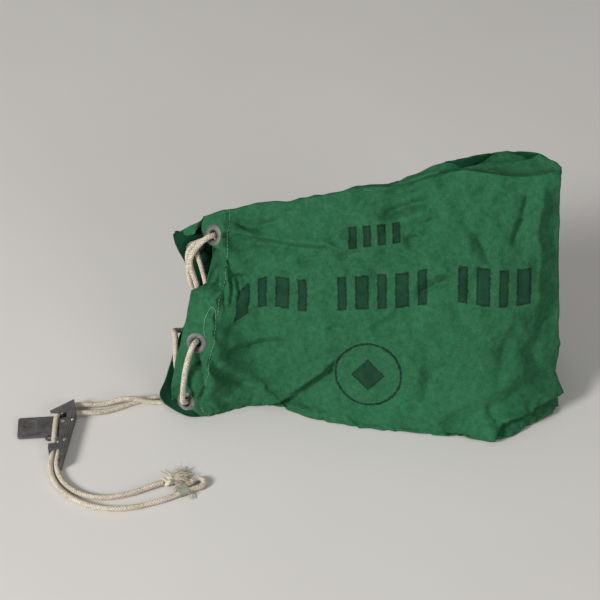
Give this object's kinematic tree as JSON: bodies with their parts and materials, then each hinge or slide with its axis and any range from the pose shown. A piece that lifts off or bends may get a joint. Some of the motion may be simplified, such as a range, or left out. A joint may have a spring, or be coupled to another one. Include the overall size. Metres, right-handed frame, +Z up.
{
  "type": "drawstring mail sack",
  "caption": "Canvas mail sack lying on its side with a corded, eyeleted mouth, a sliding steel cord fastener and knotted cord ends.",
  "frame": {"origin": "on the table, under the middle of the sack's own bounding box, its cord and fastener left out", "axes": "+Z up; +X along the sack from its mouth to its closed end; the printed front leans back from -Y"},
  "size_m": [0.6165, 0.2975, 0.28],
  "materials": {
    "duck": "matte woven",
    "eyelets": "worn dark enamel",
    "cord": "matte braided",
    "thread": "matte",
    "fastener_steel": "dull and worn"
  },
  "bodies": {
    "sack": {"front_panel": "duck", "top_panel": "duck", "back_panel": "duck", "base_panel": "duck", "end_panel": "duck", "mouth_hem": "duck", "eyelet_1": "eyelets", "eyelet_2": "eyelets", "eyelet_3": "eyelets", "eyelet_4": "eyelets", "eyelet_5": "eyelets", "eyelet_6": "eyelets", "eyelet_7": "eyelets", "eyelet_washer_1": "eyelets", "eyelet_washer_2": "eyelets", "eyelet_washer_3": "eyelets", "eyelet_washer_4": "eyelets", "eyelet_washer_5": "eyelets", "eyelet_washer_6": "eyelets", "eyelet_washer_7": "eyelets", "draw_cord_front": "cord", "draw_cord_back": "cord", "lead_cord_a": "cord", "lead_cord_b": "cord"},
    "fastener": {"fastener_channel": "fastener_steel", "label_holder": "fastener_steel", "lever_pin": "fastener_steel", "lever_spring": "fastener_steel", "channel_rivets": "fastener_steel", "tail_cord_a": "cord", "tail_cord_b": "cord", "tail_knot_a": "cord", "tail_whipping_b": "thread"},
    "lever": {"cord_lever": "fastener_steel"}
  },
  "joints": [
    {"name": "fastener_slide", "type": "slide", "parent": "sack", "child": "fastener", "axis": [0.984, 0.178, 0], "range_m": [-0.02, 0.06], "deforming": ["lead_cord_a", "lead_cord_b"]},
    {"name": "lever_hinge", "type": "hinge", "parent": "fastener", "child": "lever", "pos_m": [-0.33492, -0.07273, 0.005], "axis": [0, 0, -1], "range_deg": [0, 30], "stiffness_Nm_per_rad": 0.02, "springref_deg": -20.05, "deforming": ["lever_spring"]}
  ]
}
